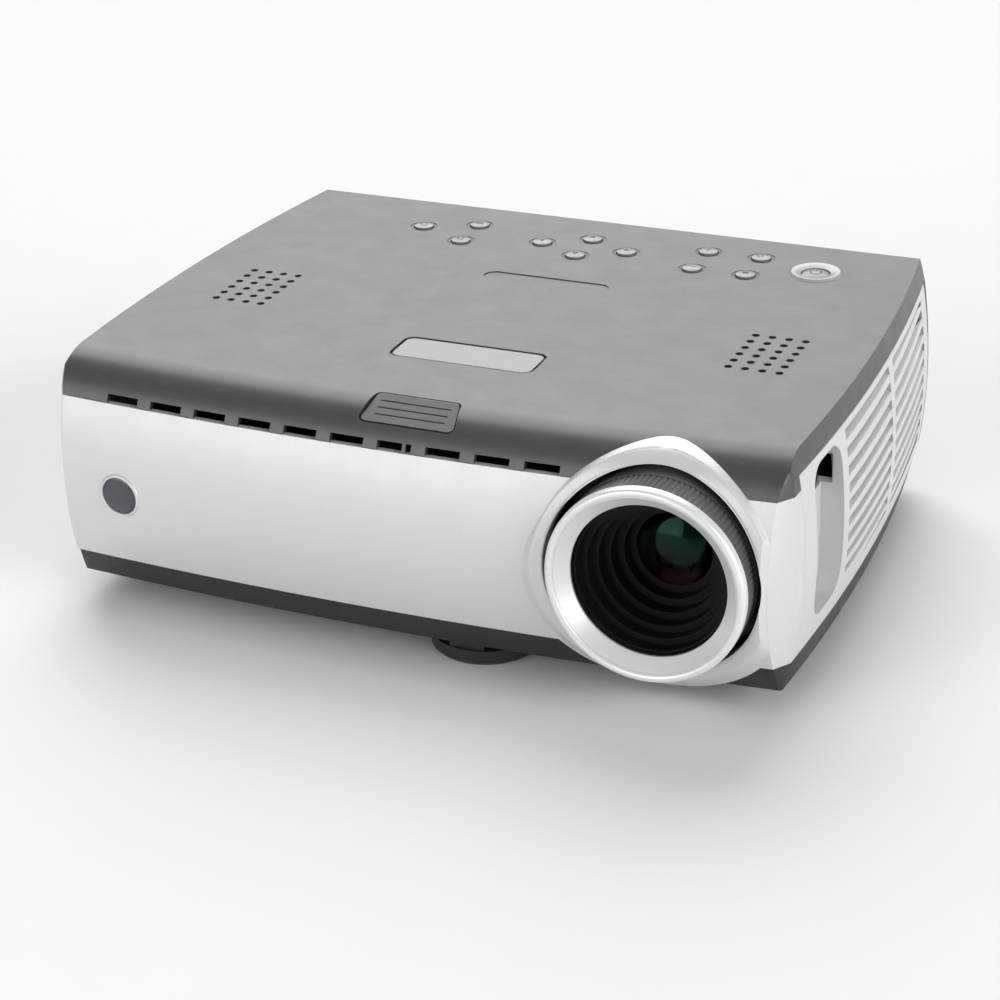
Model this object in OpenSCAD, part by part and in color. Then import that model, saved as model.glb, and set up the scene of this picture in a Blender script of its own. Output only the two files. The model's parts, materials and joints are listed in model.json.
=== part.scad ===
// Portable table-top projector, built as the separate pieces it comes apart into.
// Millimetres, +Z up, the lens looks along -Y and +X is at the right seen from the front.
// The origin is the centre of the footprint, on the surface that the projector stands on.

/* [Casing] */
// Half width of the casing across its bulged sides
body_half_w = 141; // [135:1:150]
// Height of the flat top
body_top = 95; // [92:1:100]
// Height of the seam between the dark cover and the front panel
seam_z = 82; // [80:1:84]
// Height of the lower edge of the cover at the two sides
band_z = 87; // [85:1:89]
// Height of the lower edge of the front and side panels
skirt_z = 21; // [19:1:23]
// Underside of the base tray
floor_z = 10; // [9:1:12]
// Place of the front corners along Y
front_y = -93.5; // [-96:0.5:-91]
// Place of the rear face along Y
back_y = 108; // [104:1:110]
// Wall of the plastic mouldings
wall = 2.4; // [2:0.1:3]

/* [Curves] */
// How far the front bows out in plan at its middle
front_bow = 5.8; // [3:0.2:8]
// How far the front bulges out in side view
front_bulge = 5.6; // [3:0.2:7]
// How far each side bulges out in end view
side_bulge = 3; // [1:0.5:4]
// Radius of the long curve of each side in plan
side_sweep_r = 940; // [800:10:1200]

/* [Lens] */
// Place of the lens axis along X
lens_x = 93.3; // [90:0.1:95]
// Height of the lens axis
lens_z = 52.6; // [51:0.1:54]
// Outer radius of the lens bezel
bezel_r = 35; // [34:0.5:36]
// Front of the lens bezel along Y
bezel_y = -111.2; // [-113:0.1:-110]
// Radius of the opening in the collar
collar_bore_r = 37.3; // [37:0.1:38]
// Radius of the collar where it meets the front
collar_r = 41.5; // [41:0.1:42.5]
// How far the collar stands proud of the casing
collar_raise = 2.5; // [2:0.1:3]

/* [Keys] */
// Radius of a small key's cap
key_r = 3.7; // [3:0.1:4]
// Radius of the dark ring round a small key
key_ring_r = 5.4; // [5:0.1:6]
// Height that a key stands above the top
key_proud = 1; // [0.5:0.1:1.5]
// Place of the power key along X
power_x = 92.7; // [90:0.5:95]
// Place of the power key along Y
power_y = 80; // [76:1:84]

/* [Feet] */
// Place of the front lifting foot along X
lift_x = 20; // [15:1:25]
// Place of the front lifting foot along Y
lift_y = -71; // [-73:1:-66]
// Place of both rear feet from the middle along X
rear_foot_x = 108; // [100:1:112]
// Place of both rear feet along Y
rear_foot_y = 84; // [78:1:88]

/* [Hidden] */

// Small keys: name, then place along X and Y
KEYS = [
    ["left_group_outer_key", -69, 79.5], ["left_group_rear_key", -48.5, 88],
    ["left_group_front_key", -48.5, 69], ["arrow_left_key", -17.5, 77.5],
    ["arrow_rear_key", 0, 87], ["arrow_front_key", 0, 68],
    ["arrow_right_key", 17.5, 77.5], ["right_group_rear_inner_key", 47.2, 88.5],
    ["right_group_front_inner_key", 47.2, 69], ["right_group_rear_outer_key", 68.5, 88.5],
    ["right_group_front_outer_key", 68.5, 69]];

// Fineness of full circles and of the long sweeps
round_fn = 96;
sweep_fn = 1440;
// Clearance round a moving piece, and at a seam between two mouldings
seam_gap = 0.3;
// The casing's outer skin lies a hair inside the defining curves
skin = 0.05;

// Front side view: a bulge arc that runs tangent into a smaller crown arc
bulge_half = (seam_z - skirt_z) / 2;
bulge_z = (seam_z + skirt_z) / 2;
bulge_r = (bulge_half * bulge_half + front_bulge * front_bulge) / (2 * front_bulge);
crown_sin = bulge_half / bulge_r;
crown_cos = sqrt(1 - crown_sin * crown_sin);
crown_r = (body_top - seam_z) / (1 - crown_sin);

// Half width of the front at its corners, and the corner facet's end on the side
corner_half_w = body_half_w - 8;
facet_half_w = body_half_w - 2.15;
facet_y = front_y + 9;
front_sweep_r = (corner_half_w * corner_half_w + front_bow * front_bow) / (2 * front_bow);

// Side end view: a shallow bulge arc under a leaning band
band_half_w = body_half_w - side_bulge;
flat_half_w = band_half_w - 2.2;
side_bulge_z = 52;
side_half = band_z - side_bulge_z;
side_r = (side_half * side_half + side_bulge * side_bulge) / (2 * side_bulge);
side_sweep_y = -30;

// Corner facet: straight in plan, with the same end view as the side
facet_turn = -atan2(facet_half_w - corner_half_w, facet_y - front_y);
facet_mid = [(corner_half_w + facet_half_w) / 2, (front_y + facet_y) / 2];
seam_half_w = side_w(seam_z);

// Where the side panels begin and end along Y
side_front_y = front_y + 12;
side_back_y = back_y - 5;

// Thickness of the tray's floor, and the height of its top
tray_floor = 2.5;
inner_z = floor_z + tray_floor;

// Grip recess in each side panel, then the louvres behind it
grip_front_y = -70;
grip_back_y = -41;
grip_floor_x = 132;
grip_low_z = 28;
grip_high_z = 84;
louvre_pitch = 6.3;
louvre_fields = [[-35, 25], [31, 92]];

// Cooling slots in the cover's lower front edge
slot_pitch = 17.85;
slot_w = 12.6;
slot_first_x = -107.7;
slot_count = 10;

// Loudspeaker holes, a grid on each side
speaker_x = 100.5;
speaker_y = -3.5;
hole_pitch = 6.2;
hole_r = 1.45;

// Release button: its patch of the crown, and the direction that it is pressed in
release_x = 1.7;
release_mid_y = -87.8;
release_mid_z = 92.9;
release_tilt = 23.4;
release_gap = 0.6;
release_face = -0.55;
release_corner_r = 2;
release_groove_w = 0.5;
release_groove_pitch = 3.2;
release_groove_bottom = release_face - 0.35;
// Its corner arcs: centre, first angle, and sweep
RELEASE_ARCS = [[13.5, 4.8, 10, 80], [-13.5, 4.8, 90, 80], [-15.2, -4.8, 170, 100],
    [15.2, -4.8, 270, 100]];

// Rear end of the collar, then the lens stations along Y, front to back
collar_back_y = -86.5;
focus_front_y = bezel_y + 3.7;
focus_back_y = focus_front_y + 10;
zoom_front_y = focus_back_y + 0.4;
zoom_back_y = zoom_front_y + 10;
barrel_front_y = bezel_y + 6.6;
barrel_back_y = -34;
barrel_r = 31;
barrel_bore_r = 27.5;
cell_r = 27.1;
cell_front_y = bezel_y + 7.4;
cell_back_y = -74;
lens_seat_y = -80;
zoom_cell_y = -66;

// Keys
key_hole_r = key_r + 0.3;
key_base_z = body_top - wall - 1.4;
board_top_z = 86.8;
power_key_r = 5.4;

// Lifting foot's pad and post
pad_r = 20;
pad_h = 6;
pad_edge = 1.6;
pad_top_z = 9.4;
post_w = 12;
post_d = 8;
post_top_z = 72;
slider_z = 46;

// Optical engine
engine_x0 = 56;
engine_x1 = 130;
engine_y0 = -38;
engine_y1 = 28;
engine_z0 = 19;
engine_z1 = 78;

// Axis of the colour wheel
wheel_y = -14;

// Tray fixings: case screws and ceiling-mount inserts, as places along X and Y
SCREWS = [[-116, -60], [62, -74], [-30, 92], [118, 62]];
INSERTS = [[-64, -64], [-70, 92], [96, 92]];
DOOR_SCREWS = [[-45, -31], [3, 31]];
insert_r = 3.1;
insert_bore_r = 1.65;
insert_len = 7;

// Receiver window in the front
ir_x = -108.4;
ir_z = 49.2;
ir_r = 6.9;

// Exhaust fan behind the left louvres
fan_x0 = -131;
fan_x1 = -116;
fan_y = -2;
fan_z = 49.5;

// Height of the rear sockets, then their places along X with a width or a radius
socket_z = 64;
VIDEO_SOCKETS = [[-46, 31], [-8, 31], [34, 39]];
AV_JACKS = [[66, 5], [82, 4.4], [96, 3.4]];

// Mains inlet: its middle along X and its height
inlet_x = -84;
inlet_z = 40;

// Height of the release slider's ramp, which falls as X grows
function ramp_z(x) = slider_z + 20 - 0.767 * (x + 7);

// Half width of the side bulge at a height
function side_w(z) = body_half_w - side_r + sqrt(side_r * side_r - pow(z - side_bulge_z, 2));

// ---------- shared shapes ----------

// Plane outline of the front seen from the side: x is the depth behind the front line
module front_profile(inset) {
    join_z = seam_z - inset * crown_sin;
    bulge_x = bulge_r - front_bulge;
    intersection() {
        translate([bulge_x, bulge_z]) circle(r = bulge_r - inset, $fn = 180);
        translate([-20, floor_z]) square([20 + bulge_x, join_z - floor_z]);
    }
    translate([crown_r * crown_cos, body_top - crown_r]) circle(r = crown_r - inset, $fn = 180);
    translate([crown_r * crown_cos, floor_z])
        square([240, body_top - floor_z - inset]);
}

// Plane outline of a side seen from the end: x is the distance from the middle plane
module side_profile(inset, inner_x) {
    lean = inset * 1.04;
    intersection() {
        translate([body_half_w - side_r, side_bulge_z]) circle(r = side_r - inset, $fn = 180);
        translate([inner_x, floor_z]) square([400, band_z - floor_z]);
    }
    polygon([[inner_x, band_z - 1], [band_half_w - 5, band_z - 1],
        [band_half_w - lean, band_z], [flat_half_w - lean, body_top - inset],
        [inner_x, body_top - inset]]);
}

module front_block(inset) {
    half_angle = 6;
    translate([0, front_y - front_bow + front_sweep_r, 0])
        rotate([0, 0, -90 - half_angle])
            rotate_extrude(angle = 2 * half_angle, $fn = sweep_fn)
                translate([front_sweep_r, 0]) mirror([1, 0]) front_profile(inset);
}

module side_block(inset) {
    half_angle = 14;
    translate([flat_half_w - side_sweep_r, side_sweep_y, 0])
        rotate([0, 0, -half_angle])
            rotate_extrude(angle = 2 * half_angle, $fn = sweep_fn)
                translate([side_sweep_r - flat_half_w, 0]) side_profile(inset, -155);
}

module facet_block(inset) {
    translate([facet_mid[0], facet_mid[1], 0]) rotate([90, 0, facet_turn])
        linear_extrude(height = 800, center = true)
            translate([-seam_half_w, 0]) side_profile(inset, -255);
}

// Back plane with chamfered rear corners
module rear_block(inset) {
    rear_half_w = flat_half_w - 9;
    linear_extrude(height = 120)
        polygon([[-170, -150], [170, -150], [170, back_y - 32], [rear_half_w - inset / 2, back_y - inset],
            [-rear_half_w + inset / 2, back_y - inset], [-170, back_y - 32]]);
}

// The casing's outer form, moved inwards by inset
module casing(inset = 0) {
    intersection() {
        front_block(inset);
        side_block(inset);
        mirror([1, 0, 0]) side_block(inset);
        facet_block(inset);
        mirror([1, 0, 0]) facet_block(inset);
        rear_block(inset);
    }
}

// The moulded wall of the casing, between two insets
module casing_wall(outer = skin, inner = wall) {
    difference() {
        casing(outer);
        casing(inner);
    }
}

// A box given by its lowest and highest corners
module span(low, high) {
    translate(low) cube(high - low);
}

// A cylinder along Y between two stations
module rod_y(x, z, y0, y1, r, r2 = undef) {
    translate([x, y0, z]) rotate([-90, 0, 0])
        cylinder(h = y1 - y0, r1 = r, r2 = r2 == undef ? r : r2, $fn = round_fn);
}

// A cylinder along X between two stations
module rod_x(x0, x1, y, z, r) {
    translate([x0, y, z]) rotate([0, 90, 0]) cylinder(h = x1 - x0, r = r, $fn = round_fn);
}

// A cylinder along Z between two heights
module post(x, y, z0, z1, r) {
    translate([x, y, z0]) cylinder(h = z1 - z0, r = r, $fn = round_fn);
}

// A ring round the lens axis
module lens_tube(y0, y1, r_out, r_in) {
    difference() {
        rod_y(lens_x, lens_z, y0, y1, r_out);
        rod_y(lens_x, lens_z, y0 - 1, y1 + 1, r_in);
    }
}

// Rounded plane rectangle about its middle, made of true arcs
module rounded(w, d, r) {
    square([w - 2 * r, d], center = true);
    square([w, d - 2 * r], center = true);
    for (sx = [-1, 1], sy = [-1, 1])
        translate([sx * (w / 2 - r), sy * (d / 2 - r)]) circle(r = r, $fn = 48);
}

// Space that the collar takes out of the front, a cone that widens towards the rear
module collar_cone(extra = 0) {
    rod_y(lens_x, lens_z, -118, collar_back_y + extra, collar_r - 0.8 + extra,
        collar_r + 0.1 + extra);
}

// Outline of the release button, in the plane across its travel
module release_outline(extra = 0) {
    r = release_corner_r + extra;
    polygon([for (arc = RELEASE_ARCS, k = [0 : 8])
        [arc[0] + r * cos(arc[2] + arc[3] * k / 8), arc[1] + r * sin(arc[2] + arc[3] * k / 8)]]);
}

// A prism of the release button's outline along its travel
module release_prism(extra, depth, height) {
    translate([release_x, release_mid_y, release_mid_z]) rotate([release_tilt, 0, 0])
        translate([0, 0, -depth]) linear_extrude(height = depth + height)
            release_outline(extra);
}

// ---------- casing ----------

module top_cover() {
    color("dimgray") difference() {
        intersection() {
            casing_wall();
            union() {
                span([-160, -130, seam_z + seam_gap / 2], [160, side_front_y, 120]);
                span([-160, side_front_y - 1, band_z + seam_gap], [160, 130, 120]);
            }
        }
        collar_cone(0.15);
        release_prism(release_gap, 12, 12);
        cover_slots();
        speaker_holes();
        label_recess();
        key_holes();
    }
}

module cover_slots() {
    for (i = [0 : slot_count - 1]) {
        x = slot_first_x + i * slot_pitch;
        difference() {
            span([x - slot_w / 2, -115, seam_z], [x + slot_w / 2, -80, seam_z + 3]);
            if (i == 6) span([x + 3, -116, seam_z - 1], [x + 4.2, -79, seam_z + 4]);
        }
    }
}

module speaker_holes() {
    for (side = [-1, 1], i = [-1.5 : 1.5], j = [-2.5 : 2.5])
        post(side * speaker_x + i * hole_pitch, speaker_y + j * hole_pitch,
            body_top - 6, body_top + 1, hole_r);
}

module label_recess() {
    translate([1.5, -39.5, body_top - 1]) linear_extrude(height = 3) rounded(55, 19, 4);
    translate([0, 37.5, body_top - 0.4]) linear_extrude(height = 3) rounded(50, 9, 4.4);
}

module key_holes() {
    for (key = KEYS) {
        post(key[1], key[2], body_top - 6, body_top + 1, key_hole_r);
        post(key[1], key[2], body_top - 1, body_top + 1, key_ring_r);
    }
    post(power_x, power_y, body_top - 6, body_top + 1, power_key_r + 0.3);
    post(power_x, power_y, body_top - 1.2, body_top + 1, 10);
}

// Silver front with the raised collar that runs up over the cover round the lens
module front_panel() {
    color("silver") difference() {
        union() {
            intersection() {
                casing_wall();
                span([-160, -130, skirt_z], [160, side_front_y, seam_z - seam_gap / 2]);
            }
            raised_collar();
        }
        rod_y(lens_x, lens_z, -120, -60, collar_bore_r);
        rod_y(lens_x, lens_z, -109, -101, collar_bore_r + 2.4, collar_bore_r - 0.5);
        rod_y(ir_x, ir_z, -115, -80, ir_r + 0.2);
    }
}

module raised_collar() {
    difference() {
        intersection() {
            front_block(-collar_raise);
            facet_block(0.15);
            collar_cone();
        }
        front_block(wall / 2);
    }
}

// The grip's rounded outline in side view, cut or raised along X
module grip_prism(x0, x1, extra) {
    high = grip_high_z - grip_low_z + 2 * extra;
    deep = grip_back_y - grip_front_y + 2 * extra;
    translate([x0, (grip_front_y + grip_back_y) / 2, (grip_low_z + grip_high_z) / 2])
        rotate([90, 0, 90]) linear_extrude(height = x1 - x0) rounded(deep, high, 9);
}

// Opening at the top of the grip, through its floor and the inner half of its rear wall
module strap_hole() {
    translate([grip_floor_x - 12, grip_back_y - 5.5, grip_high_z - 11.5])
        rotate([90, 0, 90]) linear_extrude(height = 16) rounded(16, 12, 4.5);
}

// Slanted slats that follow the side's curve
module louvre_slats() {
    intersection() {
        difference() {
            side_block(0.3);
            side_block(4.2);
        }
        for (field = louvre_fields, i = [0 : 8])
            translate([130, field[0] - 0.5, 30.6 + i * louvre_pitch]) rotate([0, 22, 0])
                cube([16, field[1] - field[0] + 1, 2.7]);
        span([120, -60, skirt_z], [160, side_back_y - 2, band_z]);
    }
}

module right_side_panel() {
    color("silver") union() {
        difference() {
            intersection() {
                union() {
                    casing_wall();
                    intersection() {
                        casing(0.6);
                        grip_prism(grip_floor_x - 1.6, 150, 1.6);
                    }
                }
                span([120, side_front_y + seam_gap, skirt_z], [160, side_back_y, band_z]);
            }
            grip_prism(grip_floor_x, 160, 0);
            strap_hole();
            for (field = louvre_fields) span([110, field[0], 27], [160, field[1], 84.5]);
        }
        louvre_slats();
    }
}

module left_side_panel() {
    mirror([1, 0, 0]) right_side_panel();
}

module rear_panel() {
    color("dimgray") difference() {
        intersection() {
            casing_wall();
            span([-160, side_back_y + seam_gap, skirt_z], [160, 130, band_z]);
        }
        span([inlet_x - 15, 100, inlet_z - 14.4], [inlet_x + 15, 120, inlet_z + 14.4]);
        for (s = VIDEO_SOCKETS)
            span([s[0] - s[1] / 2 - 0.2, 100, socket_z - 6.6], [s[0] + s[1] / 2 + 0.2, 120, socket_z + 6.6]);
        for (s = AV_JACKS) rod_y(s[0], socket_z, 100, 120, s[1] + 0.2);
        for (i = [0 : 6]) span([18, 100, 27 + i * 3.6], [108, 120, 28.8 + i * 3.6]);
        span([112.5, 100, 76], [119.5, 120, 79]);
    }
}

module base_tray() {
    color("black") difference() {
        union() {
            intersection() {
                casing(0.8);
                span([-160, -130, floor_z], [160, 130, inner_z]);
            }
            intersection() {
                casing_wall(0.8, 3.2);
                span([-160, -130, floor_z], [160, 130, skirt_z - seam_gap]);
            }
            intersection() {
                casing_wall(2.7, 4.6);
                span([-160, -130, floor_z], [160, side_front_y - 4, skirt_z + 3]);
            }
            for (at = SCREWS) post(at[0], at[1], floor_z, floor_z + 8, 4.6);
            for (at = INSERTS) post(at[0], at[1], floor_z, floor_z + insert_len, 5.6);
        }
        collar_cone(0.15);
        for (at = SCREWS) {
            post(at[0], at[1], floor_z - 1, floor_z + 20, 1.7);
            post(at[0], at[1], floor_z - 1, floor_z + 2, 3.1);
        }
        for (at = INSERTS) post(at[0], at[1], floor_z - 1, floor_z + 20, insert_r);
        span([-54.3, -36.3, 0], [12.3, 36.3, 30]);
        translate([lift_x, lift_y, 0]) linear_extrude(height = 30)
            rounded(post_w + 1, post_d + 1, 1);
        post(-rear_foot_x, rear_foot_y, 0, 30, 5.3);
        post(rear_foot_x, rear_foot_y, 0, 30, 3);
        for (i = [0 : 7]) span([-108 + i * 5, -48, 0], [-105.6 + i * 5, -12, 30]);
    }
}

module ir_window() {
    color("midnightblue") rod_y(ir_x, ir_z, -103.1, -97, ir_r);
}

module label_plate() {
    color("gainsboro") translate([1.5, -39.5, body_top - 1]) linear_extrude(height = 0.8)
        rounded(53, 17, 3.2);
}

module case_screws() {
    color("dimgray") for (at = SCREWS) {
        difference() {
            post(at[0], at[1], floor_z + 0.3, floor_z + 2, 2.8);
            post(at[0], at[1], floor_z, floor_z + 1.3, 1.2);
        }
        post(at[0], at[1], floor_z + 1.9, floor_z + 12, 1.5);
    }
    color("dimgray") for (at = DOOR_SCREWS) {
        difference() {
            post(at[0], at[1], floor_z + 0.3, floor_z + 1.6, 2.8);
            post(at[0], at[1], floor_z, floor_z + 1.1, 1.2);
        }
        post(at[0], at[1], floor_z + 1.5, floor_z + 8, 1.5);
    }
}

module mounting_inserts() {
    color("goldenrod") for (at = INSERTS) difference() {
        post(at[0], at[1], floor_z, floor_z + insert_len, insert_r);
        post(at[0], at[1], floor_z - 1, floor_z + insert_len + 1, insert_bore_r);
    }
}

// ---------- keys ----------

// A key: domed cap, retaining flange under the cover, and a stem to its contact
module key_cap(x, y, r, proud) {
    dome_r = 14;
    intersection() {
        post(x, y, key_base_z, body_top + proud, r);
        translate([x, y, body_top + proud - dome_r]) sphere(r = dome_r, $fn = round_fn);
    }
    post(x, y, key_base_z - 0.2, key_base_z + 1, r + 1.2);
    post(x, y, board_top_z + 1.1, key_base_z, 1.6);
}

module small_key(i) {
    color("gray") key_cap(KEYS[i][1], KEYS[i][2], key_r, key_proud);
}

module key_rings() {
    color("black") for (key = KEYS) difference() {
        post(key[1], key[2], body_top - 1, body_top - 0.2, key_ring_r);
        post(key[1], key[2], body_top - 2, body_top + 1, key_hole_r);
    }
}

module power_ring() {
    color("silver") translate([power_x, power_y, body_top - 1.2]) rotate_extrude($fn = round_fn)
        polygon([[power_key_r + 0.3, 0], [9.95, 0], [9.95, 1.1], [9.2, 1.9], [7.6, 1.9],
            [power_key_r + 0.3, 1.1]]);
}

module power_key() {
    color("gray") key_cap(power_x, power_y, power_key_r, 0.5);
}

module keypad_board() {
    color("darkgreen") span([-82, 58, board_top_z - 1.6], [104, 99, board_top_z]);
    color("black") for (key = concat(KEYS, [["power", power_x, power_y]]))
        post(key[1], key[2], board_top_z, board_top_z + 0.25, 3);
}

// ---------- front foot and its release ----------

module release_button() {
    color("dimgray") union() {
        difference() {
            intersection() {
                front_block(0);
                release_prism(0, 12, 12);
            }
            front_block(2.6);
            translate([release_x, release_mid_y, release_mid_z]) rotate([release_tilt, 0, 0]) {
                span([-25, -12, release_face], [25, 12, 12]);
                for (y = [-release_groove_pitch, 0, release_groove_pitch])
                    span([-13, y - release_groove_w / 2, release_groove_bottom],
                        [13, y + release_groove_w / 2, 3]);
            }
        }
        release_stem();
    }
}

// Leg under the release button, with a slanted end that lies on the slider's ramp
module release_stem() {
    difference() {
        translate([release_x, release_mid_y, release_mid_z]) rotate([release_tilt, 0, 0])
            span([-4, 1, -44], [4, 4, -1.2]);
        translate([0, -40, 0]) rotate([90, 0, 0]) linear_extrude(height = 60)
            polygon([[-12, 30], [12, 30], [12, ramp_z(12) + 0.5], [-12, ramp_z(-12) + 0.5]]);
    }
}

module release_slider() {
    back = lift_y + 4;
    color("ivory") difference() {
        union() {
            span([-10, lift_y - 4, slider_z], [lift_x - post_w / 2 - 0.4, back, slider_z + 3]);
            translate([0, back, 0]) rotate([90, 0, 0]) linear_extrude(height = 18)
                polygon([[-10, slider_z], [1, slider_z], [1, ramp_z(1)], [-7, ramp_z(-7)],
                    [-10, ramp_z(-7)]]);
        }
        rod_x(-11, -7.2, lift_y, slider_z + 8, 3.3);
    }
}

module release_spring() {
    turns = 5;
    color("lightgray") translate([-20.3, lift_y, slider_z + 8]) rotate([0, 90, 0])
        linear_extrude(height = 11, twist = -360 * turns, slices = 12 * turns)
            translate([2.2, 0]) circle(r = 0.5, $fn = 8);
}

module lift_foot() {
    color("black") difference() {
        union() {
            translate([lift_x, lift_y, 0])
                cylinder(h = pad_edge, r1 = pad_r - pad_edge, r2 = pad_r, $fn = round_fn);
            post(lift_x, lift_y, pad_edge, pad_h, pad_r);
            translate([lift_x, lift_y, 4]) linear_extrude(height = pad_top_z - 4)
                rounded(30, 22, 5);
            span([lift_x - 6.5, lift_y - pad_r + 1.6, 4], [lift_x + 6.5, lift_y, pad_top_z]);
            translate([lift_x, lift_y, 4]) linear_extrude(height = post_top_z - 4)
                rounded(post_w, post_d, 0.8);
        }
        for (i = [0 : 9])
            span([lift_x - post_w / 2 - 1, lift_y - 2.5, 20 + 4 * i],
                [lift_x - post_w / 2 + 1.2, lift_y + 2.5, 22.4 + 4 * i]);
    }
}

module foot_guide() {
    color("ivory") difference() {
        union() {
            translate([lift_x, lift_y, inner_z]) linear_extrude(height = 46) rounded(19, 15, 1.5);
            translate([lift_x, lift_y, inner_z]) linear_extrude(height = 2.4) rounded(34, 15, 2);
            span([-24, lift_y - 6, inner_z], [-20.6, lift_y + 6, slider_z + 14]);
            span([-24, lift_y - 6, inner_z], [lift_x - 8, lift_y + 6, inner_z + 2]);
        }
        translate([lift_x, lift_y, 0]) linear_extrude(height = 90)
            rounded(post_w + 0.8, post_d + 0.8, 0.9);
        span([lift_x - 12, lift_y - 4.6, slider_z - 0.5], [lift_x - 4, lift_y + 4.6, slider_z + 3.6]);
    }
}

// ---------- rear feet ----------

module rear_rubber_foot() {
    color("black") union() {
        post(rear_foot_x, rear_foot_y, 0, floor_z, 8.5);
        post(rear_foot_x, rear_foot_y, floor_z - 1, inner_z + 1, 2.9);
    }
}

module tilt_wheel() {
    teeth = 24;
    color("black") difference() {
        union() {
            translate([-rear_foot_x, rear_foot_y, 6]) linear_extrude(height = 3.6)
                polygon([for (i = [0 : 2 * teeth - 1]) let (r = i % 2 == 0 ? 11 : 10.2)
                    [r * cos(i * 180 / teeth), r * sin(i * 180 / teeth)]]);
            post(-rear_foot_x, rear_foot_y, 9, inner_z + 0.3, 5);
            post(-rear_foot_x, rear_foot_y, inner_z + 0.3, inner_z + 1.8, 7);
        }
        post(-rear_foot_x, rear_foot_y, 0, 30, 3.06);
    }
}

module tilt_post() {
    color("silver") union() {
        post(-rear_foot_x, rear_foot_y, 0, 5.2, 9);
        post(-rear_foot_x, rear_foot_y, 5, 30, 3);
    }
}

// ---------- lens ----------

// Bezel section: a round rim, then a cone that runs in to the lens opening
module lens_bezel() {
    rim = 1.6;
    color("silver") translate([lens_x, bezel_y, lens_z]) rotate([-90, 0, 0])
        rotate_extrude($fn = 180)
            polygon(concat(
                [[27.5, 5.9], [27.5, 5.1], [31.9, 1], [31.9, 0.7]],
                [for (a = [150 : -15 : 0]) [bezel_r - rim + rim * cos(a), rim - rim * sin(a)]],
                [[bezel_r, 3.7], [31.8, 3.7], [31.8, 2.6], [28.3, 5.9]]));
}

module focus_ring() {
    teeth = 110;
    color("black") difference() {
        translate([lens_x, focus_front_y, lens_z]) rotate([-90, 0, 0])
            linear_extrude(height = focus_back_y - focus_front_y)
                polygon([for (i = [0 : 2 * teeth - 1]) let (r = i % 2 == 0 ? 34.7 : 34)
                    [r * cos(i * 180 / teeth), r * sin(i * 180 / teeth)]]);
        rod_y(lens_x, lens_z, focus_front_y - 1, focus_back_y + 1, barrel_r + 0.3);
    }
}

module zoom_ring() {
    color("black") union() {
        lens_tube(zoom_front_y, zoom_back_y, 34.7, barrel_r + 0.3);
    }
}

module lens_barrel() {
    color("black") difference() {
        union() {
            rod_y(lens_x, lens_z, barrel_front_y, barrel_back_y, barrel_r);
            rod_y(lens_x, lens_z, zoom_back_y + 0.4, zoom_back_y + 2.4, 36.6);
        }
        rod_y(lens_x, lens_z, barrel_front_y - 1, barrel_back_y + 1, barrel_bore_r);
    }
}

module front_lens_cell() {
    steps = [[0, 26.3], [4.5, 24], [9, 21.6], [14, 19], [19, 16.2]];
    color("black") difference() {
        rod_y(lens_x, lens_z, cell_front_y, cell_back_y, cell_r);
        for (i = [0 : len(steps) - 1])
            rod_y(lens_x, lens_z, cell_front_y + steps[i][0] - 0.01,
                i == len(steps) - 1 ? lens_seat_y : cell_front_y + steps[i + 1][0], steps[i][1]);
        rod_y(lens_x, lens_z, lens_seat_y - 1, cell_back_y + 1, 13.5);
        rod_y(lens_x, lens_z, lens_seat_y + 5, cell_back_y + 1, 23);
    }
}

module front_lens() {
    dome_r = 26;
    color("teal", 0.5) intersection() {
        rod_y(lens_x, lens_z, lens_seat_y - 3.4, lens_seat_y + 3, 13.4);
        translate([lens_x, lens_seat_y - 3.4 + dome_r, lens_z]) sphere(r = dome_r, $fn = round_fn);
    }
}

module zoom_cell() {
    color("black") lens_tube(zoom_cell_y, zoom_cell_y + 12, cell_r, 15);
}

module zoom_lens() {
    dome_r = 34;
    thick = 7;
    color("teal", 0.5) translate([lens_x, zoom_cell_y + 2, lens_z]) rotate([-90, 0, 0])
        rotate_extrude($fn = round_fn) intersection() {
            square([14.9, thick]);
            translate([0, dome_r]) circle(r = dome_r, $fn = 180);
            translate([0, thick - dome_r]) circle(r = dome_r, $fn = 180);
        }
}

// ---------- light path ----------

module optical_engine() {
    t = 3;
    color("dimgray") difference() {
        span([engine_x0, engine_y0, engine_z0], [engine_x1, engine_y1, engine_z1]);
        span([engine_x0 + t, engine_y0 + t, engine_z0 + t],
            [engine_x1 - t, engine_y1 - t, engine_z1 - t]);
        rod_y(lens_x, lens_z, engine_y0 - 1, engine_y0 + t + 1, barrel_r + 0.1);
        span([engine_x0 - 1, -3.6, lens_z - 3.6], [engine_x0 + t + 1, 3.6, lens_z + 3.6]);
        span([lens_x - 11, engine_y1 - t - 1, lens_z - 8.5],
            [lens_x + 11, engine_y1 + 1, lens_z + 8.5]);
    }
}

module light_tunnel() {
    color("lightblue") span([22, -3, lens_z - 3], [engine_x0 + 12, 3, lens_z + 3]);
}

module colour_wheel() {
    colors = ["red", "green", "blue", "white"];
    for (i = [0 : 3]) color(colors[i]) intersection() {
        rod_x(18.6, 19.6, wheel_y, lens_z, 20);
        translate([18, wheel_y, lens_z]) rotate([i * 90, 0, 0]) cube([3, 30, 30]);
    }
    color("silver") rod_x(17.6, 21, wheel_y, lens_z, 7);
    color("silver") rod_x(20, 30, wheel_y, lens_z, 1.5);
}

module wheel_motor() {
    color("dimgray") difference() {
        union() {
            rod_x(21.6, 32, wheel_y, lens_z, 9);
            span([32, wheel_y - 10, inner_z], [34, wheel_y + 10, lens_z + 10]);
            span([26, wheel_y - 10, inner_z], [33, wheel_y + 10, inner_z + 2]);
        }
        rod_x(15, 31, wheel_y, lens_z, 1.55);
    }
}

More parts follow.
